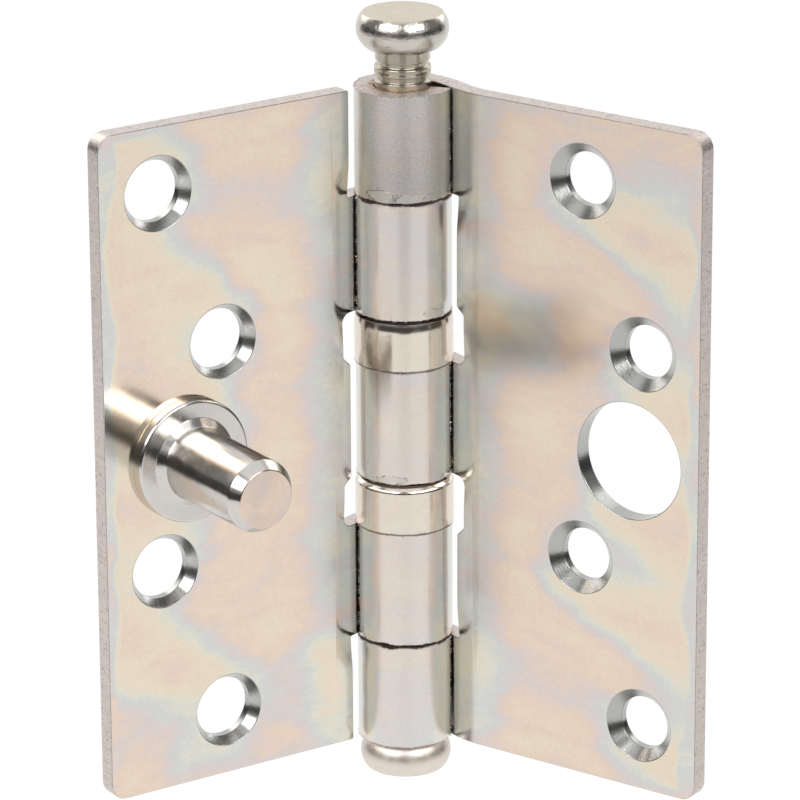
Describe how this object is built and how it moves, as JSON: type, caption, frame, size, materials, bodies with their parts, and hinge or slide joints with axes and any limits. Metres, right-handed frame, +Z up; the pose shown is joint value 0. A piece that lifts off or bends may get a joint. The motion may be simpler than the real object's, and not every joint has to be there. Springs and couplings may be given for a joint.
{
  "type": "ball bearing hinge",
  "caption": "Loose-pin butt hinge of rolled sheet with ball bearings in its barrel, staggered countersunk screw holes, and a security stud that closes into a hole in the facing leaf.",
  "frame": {"origin": "centre of the stud hole in the frame leaf, on the leaf's back face", "axes": "+X along the frame leaf away from the barrel, +Y out of the frame leaf's back, +Z up along the pin towards its head"},
  "size_m": [0.0637, 0.0476, 0.103],
  "materials": {
    "leaf_zinc": "zinc plate with a clear iridescent passivate, satin to bright",
    "pin_zinc": "turned steel with bright zinc plate",
    "stud_zinc": "turned steel with bright zinc plate",
    "shell_zinc": "drawn steel shell with bright zinc plate",
    "race_steel": "ground bearing steel",
    "cage_steel": "pressed steel strip",
    "ball_steel": "polished bearing balls"
  },
  "bodies": {
    "frame": {"frame_leaf": "leaf_zinc", "bottom_plug": "pin_zinc", "upper_bearing_shell": "shell_zinc", "upper_bearing_bottom_race": "race_steel", "lower_bearing_top_race": "race_steel"},
    "door": {"door_leaf": "leaf_zinc", "security_stud": "stud_zinc", "upper_bearing_top_race": "race_steel", "lower_bearing_shell": "shell_zinc", "lower_bearing_bottom_race": "race_steel"},
    "pin": {"hinge_pin": "pin_zinc"},
    "upper_cage": {"upper_bearing_cage": "cage_steel", "upper_bearing_balls": "ball_steel"},
    "lower_cage": {"lower_bearing_cage": "cage_steel", "lower_bearing_balls": "ball_steel"}
  },
  "joints": [
    {"name": "door_swing", "type": "hinge", "parent": "frame", "child": "door", "pos_m": [-0.034, -0.0039, 0], "axis": [0, 0, -1], "range_deg": [-110.5, 159.5]},
    {"name": "pin_slide", "type": "slide", "parent": "frame", "child": "pin", "axis": [0, 0, 1], "range_m": [-0.005, 0.075]},
    {"name": "upper_cage_roll", "type": "hinge", "parent": "frame", "child": "upper_cage", "pos_m": [-0.034, -0.0039, 0], "axis": [0, 0, -1], "range_deg": [-56, 80]},
    {"name": "lower_cage_roll", "type": "hinge", "parent": "frame", "child": "lower_cage", "pos_m": [-0.034, -0.0039, 0], "axis": [0, 0, -1], "range_deg": [-56, 80]}
  ],
  "couplings": [
    {"joint": "upper_cage_roll", "follows": "door_swing", "ratio": 0.5},
    {"joint": "lower_cage_roll", "follows": "door_swing", "ratio": 0.5}
  ]
}
